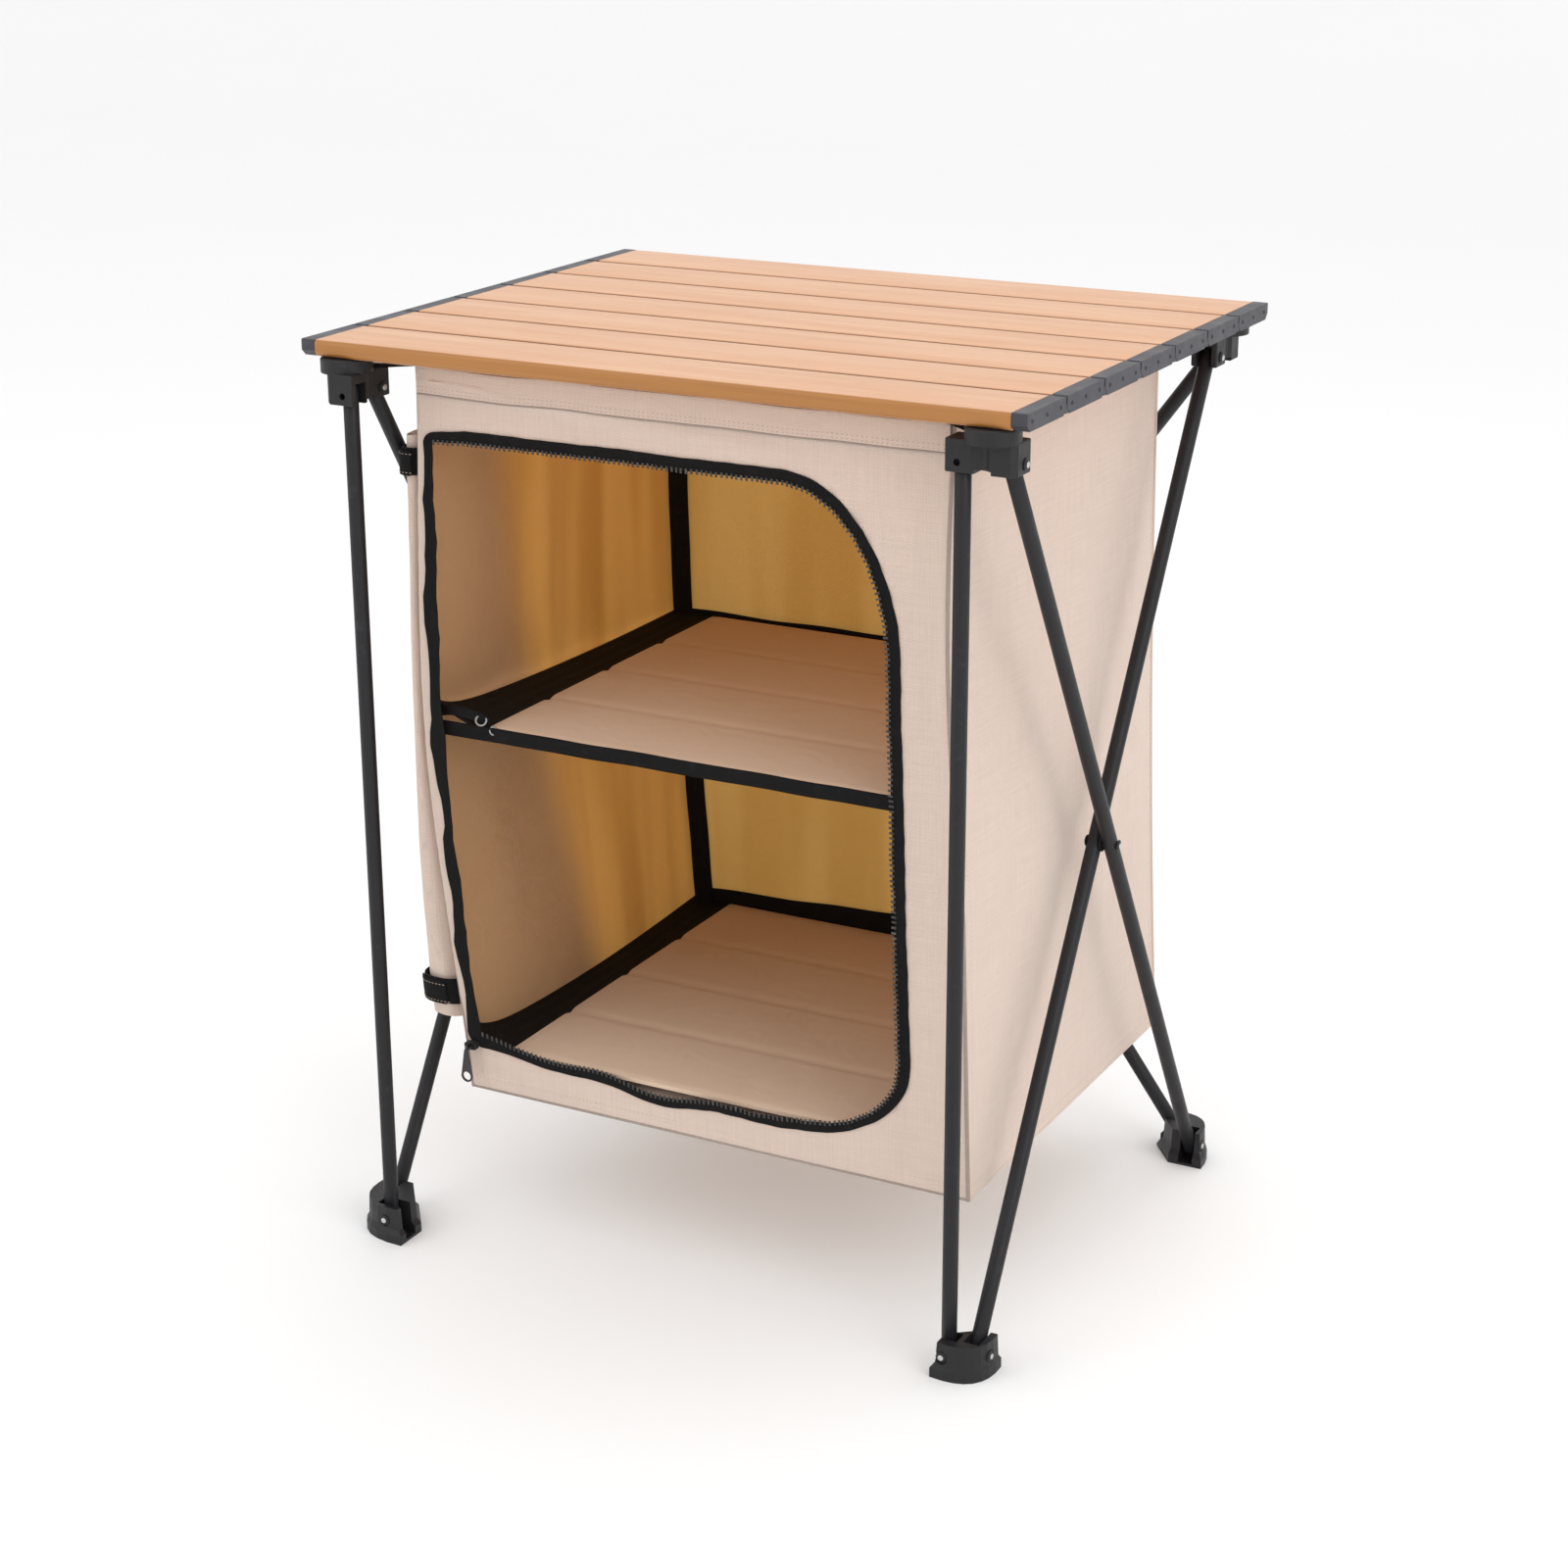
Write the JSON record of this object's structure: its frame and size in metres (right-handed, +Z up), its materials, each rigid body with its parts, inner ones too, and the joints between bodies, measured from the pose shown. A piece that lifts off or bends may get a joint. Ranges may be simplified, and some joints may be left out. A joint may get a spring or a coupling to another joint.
{
  "type": "fabric camp kitchen cupboard",
  "caption": "Folding camp cupboard: tube frame on moulded brackets and feet, roll-up slat tabletop, hung fabric body with soft shelves and a zipped front.",
  "frame": {"origin": "on the ground under the middle of the tabletop", "axes": "+Z up, +X to the cupboard's right as seen from its open front, +Y to the back"},
  "size_m": [0.6, 0.4984, 0.75],
  "materials": {
    "tube": "dark grey powder coat, satin",
    "bracket": "black moulded nylon",
    "steel": "bright rivet",
    "nylon": "black washer",
    "slat": "light wood-grain film, satin",
    "cap": "dark grey moulded plastic",
    "canvas": "sand coloured woven polyester",
    "board": "cloth-covered soft board",
    "webbing": "black woven tape",
    "slider": "black enamelled zip slider"
  },
  "bodies": {
    "cupboard": {"cupboard_left_wall": "canvas", "cupboard_right_wall": "canvas", "cupboard_wrap": "canvas", "cupboard_floor": "canvas", "cupboard_front_panel": "canvas", "zip_tape": "webbing", "rolled_door": "canvas", "mid_shelf": "board", "lower_shelf": "board", "mid_shelf_webbing": "webbing", "lower_shelf_webbing": "webbing", "mid_shelf_binding": "webbing", "upper_strap": "webbing", "lower_strap": "webbing"},
    "zip_slider": {"zip_slider": "slider"},
    "zip_puller": {"zip_puller": "steel"},
    "rear_tube_a": {"rear_tube_a": "tube", "rear_cross_rivet": "steel", "rear_cross_washer": "nylon"},
    "rear_tube_b": {"rear_tube_b": "tube"},
    "right_tube_a": {"right_tube_a": "tube", "right_cross_rivet": "steel", "right_cross_washer": "nylon"},
    "right_tube_b": {"right_tube_b": "tube"},
    "left_tube_a": {"left_tube_a": "tube", "left_cross_rivet": "steel", "left_cross_washer": "nylon"},
    "left_tube_b": {"left_tube_b": "tube"},
    "bracket_front_right": {"bracket_front_right": "bracket"},
    "foot_front_right": {"foot_front_right": "bracket"},
    "bracket_rear_right": {"bracket_rear_right": "bracket"},
    "foot_rear_right": {"foot_rear_right": "bracket"},
    "bracket_rear_left": {"bracket_rear_left": "bracket"},
    "foot_rear_left": {"foot_rear_left": "bracket"},
    "bracket_front_left": {"bracket_front_left": "bracket"},
    "foot_front_left": {"foot_front_left": "bracket"},
    "front_post_right": {"front_post_right": "tube"},
    "front_post_left": {"front_post_left": "tube"},
    "slat_1": {"slat_1": "slat", "slat_cap_left_1": "cap", "slat_cap_right_1": "cap"},
    "slat_2": {"slat_2": "slat", "slat_cap_left_2": "cap", "slat_cap_right_2": "cap"},
    "slat_3": {"slat_3": "slat", "slat_cap_left_3": "cap", "slat_cap_right_3": "cap"},
    "slat_4": {"slat_4": "slat", "slat_cap_left_4": "cap", "slat_cap_right_4": "cap"},
    "slat_5": {"slat_5": "slat", "slat_cap_left_5": "cap", "slat_cap_right_5": "cap"},
    "slat_6": {"slat_6": "slat", "slat_cap_left_6": "cap", "slat_cap_right_6": "cap"},
    "slat_7": {"slat_7": "slat", "slat_cap_left_7": "cap", "slat_cap_right_7": "cap"}
  },
  "joints": [
    {"name": "frame_fold", "type": "hinge", "parent": "cupboard", "child": "rear_tube_a", "pos_m": [0.0075, 0.2344, 0.364], "axis": [0, -1, 0], "range_deg": [0, 18.9], "deforming": ["cupboard_left_wall", "cupboard_right_wall", "cupboard_wrap", "cupboard_floor", "cupboard_front_panel", "zip_tape", "rolled_door", "mid_shelf", "lower_shelf", "mid_shelf_webbing", "lower_shelf_webbing", "mid_shelf_binding", "upper_strap", "lower_strap"]},
    {"name": "rear_tube_b_fold", "type": "hinge", "parent": "cupboard", "child": "rear_tube_b", "pos_m": [0.0075, 0.221, 0.364], "axis": [0, 1, 0], "range_deg": [0, 18.9]},
    {"name": "bracket_rear_right_pivot", "type": "hinge", "parent": "rear_tube_a", "child": "bracket_rear_right", "pos_m": [0.26, 0.2344, 0.71], "axis": [0, 1, 0], "range_deg": [0, 18.9]},
    {"name": "foot_rear_left_pivot", "type": "hinge", "parent": "rear_tube_a", "child": "foot_rear_left", "pos_m": [-0.245, 0.2344, 0.018], "axis": [0, 1, 0], "range_deg": [0, 18.9]},
    {"name": "bracket_rear_left_pivot", "type": "hinge", "parent": "rear_tube_b", "child": "bracket_rear_left", "pos_m": [-0.245, 0.221, 0.71], "axis": [0, -1, 0], "range_deg": [0, 18.9]},
    {"name": "foot_rear_right_pivot", "type": "hinge", "parent": "rear_tube_b", "child": "foot_rear_right", "pos_m": [0.26, 0.221, 0.018], "axis": [0, -1, 0], "range_deg": [0, 18.9]},
    {"name": "right_tube_b_pivot", "type": "hinge", "parent": "bracket_rear_right", "child": "right_tube_b", "pos_m": [0.265, 0.201, 0.71], "axis": [1, 0, 0], "range_deg": [0, 27.1]},
    {"name": "right_cross_pivot", "type": "hinge", "parent": "right_tube_b", "child": "right_tube_a", "pos_m": [0.2784, -0.0075, 0.364], "axis": [-1, 0, 0], "range_deg": [0, 54.1]},
    {"name": "bracket_front_right_pivot", "type": "hinge", "parent": "right_tube_a", "child": "bracket_front_right", "pos_m": [0.2784, -0.216, 0.71], "axis": [1, 0, 0], "range_deg": [0, 27.1]},
    {"name": "foot_front_right_pivot", "type": "hinge", "parent": "right_tube_b", "child": "foot_front_right", "pos_m": [0.265, -0.216, 0.018], "axis": [-1, 0, 0], "range_deg": [0, 27.1]},
    {"name": "left_tube_a_pivot", "type": "hinge", "parent": "bracket_rear_left", "child": "left_tube_a", "pos_m": [-0.2784, 0.216, 0.71], "axis": [1, 0, 0], "range_deg": [0, 27.1]},
    {"name": "left_cross_pivot", "type": "hinge", "parent": "left_tube_a", "child": "left_tube_b", "pos_m": [-0.265, 0.0075, 0.364], "axis": [-1, 0, 0], "range_deg": [0, 54.1]},
    {"name": "bracket_front_left_pivot", "type": "hinge", "parent": "left_tube_b", "child": "bracket_front_left", "pos_m": [-0.265, -0.201, 0.71], "axis": [1, 0, 0], "range_deg": [0, 27.1]},
    {"name": "foot_front_left_pivot", "type": "hinge", "parent": "left_tube_a", "child": "foot_front_left", "pos_m": [-0.2784, -0.201, 0.018], "axis": [-1, 0, 0], "range_deg": [0, 27.1]},
    {"name": "front_post_right_pivot", "type": "hinge", "parent": "foot_front_right", "child": "front_post_right", "pos_m": [0.245, -0.221, 0.018], "axis": [0, -1, 0], "range_deg": [0, 30]},
    {"name": "front_post_left_pivot", "type": "hinge", "parent": "foot_front_left", "child": "front_post_left", "pos_m": [-0.26, -0.2344, 0.018], "axis": [0, 1, 0], "range_deg": [0, 30]},
    {"name": "tabletop_lift", "type": "slide", "parent": "bracket_rear_left", "child": "slat_4", "axis": [0, 0, 1], "range_m": [0, 0.42]},
    {"name": "slat_3_roll", "type": "hinge", "parent": "slat_4", "child": "slat_3", "pos_m": [0, -0.03429, 0.741], "axis": [1, 0, 0], "range_deg": [0, 50]},
    {"name": "slat_2_roll", "type": "hinge", "parent": "slat_3", "child": "slat_2", "pos_m": [0, -0.10286, 0.741], "axis": [1, 0, 0], "range_deg": [0, 50]},
    {"name": "slat_1_roll", "type": "hinge", "parent": "slat_2", "child": "slat_1", "pos_m": [0, -0.17143, 0.741], "axis": [1, 0, 0], "range_deg": [0, 50]},
    {"name": "slat_5_roll", "type": "hinge", "parent": "slat_4", "child": "slat_5", "pos_m": [0, 0.03429, 0.741], "axis": [-1, 0, 0], "range_deg": [0, 50]},
    {"name": "slat_6_roll", "type": "hinge", "parent": "slat_5", "child": "slat_6", "pos_m": [0, 0.10286, 0.741], "axis": [-1, 0, 0], "range_deg": [0, 50]},
    {"name": "slat_7_roll", "type": "hinge", "parent": "slat_6", "child": "slat_7", "pos_m": [0, 0.17143, 0.741], "axis": [-1, 0, 0], "range_deg": [0, 50]},
    {"name": "zip_slide", "type": "slide", "parent": "cupboard", "child": "zip_slider", "axis": [0.995, 0, -0.0995], "range_m": [0, 0.16]},
    {"name": "zip_puller_swing", "type": "hinge", "parent": "zip_slider", "child": "zip_puller", "pos_m": [-0.21255, -0.18382, 0.1595], "axis": [-1, 0, 0], "range_deg": [0, 90]}
  ],
  "couplings": [
    {"joint": "rear_tube_b_fold", "follows": "frame_fold", "ratio": 1},
    {"joint": "bracket_rear_right_pivot", "follows": "frame_fold", "ratio": 1},
    {"joint": "foot_rear_left_pivot", "follows": "frame_fold", "ratio": 1},
    {"joint": "bracket_rear_left_pivot", "follows": "frame_fold", "ratio": 1},
    {"joint": "foot_rear_right_pivot", "follows": "frame_fold", "ratio": 1},
    {"joint": "right_tube_b_pivot", "follows": "frame_fold", "ratio": 1.4286},
    {"joint": "bracket_front_right_pivot", "follows": "frame_fold", "ratio": 1.4286},
    {"joint": "foot_front_right_pivot", "follows": "frame_fold", "ratio": 1.4286},
    {"joint": "left_tube_a_pivot", "follows": "frame_fold", "ratio": 1.4286},
    {"joint": "bracket_front_left_pivot", "follows": "frame_fold", "ratio": 1.4286},
    {"joint": "foot_front_left_pivot", "follows": "frame_fold", "ratio": 1.4286},
    {"joint": "right_cross_pivot", "follows": "frame_fold", "ratio": 2.8571},
    {"joint": "left_cross_pivot", "follows": "frame_fold", "ratio": 2.8571},
    {"joint": "slat_1_roll", "follows": "tabletop_lift", "rad_per_m": 2},
    {"joint": "slat_2_roll", "follows": "tabletop_lift", "rad_per_m": 2},
    {"joint": "slat_3_roll", "follows": "tabletop_lift", "rad_per_m": 2},
    {"joint": "slat_5_roll", "follows": "tabletop_lift", "rad_per_m": 2},
    {"joint": "slat_6_roll", "follows": "tabletop_lift", "rad_per_m": 2},
    {"joint": "slat_7_roll", "follows": "tabletop_lift", "rad_per_m": 2}
  ]
}
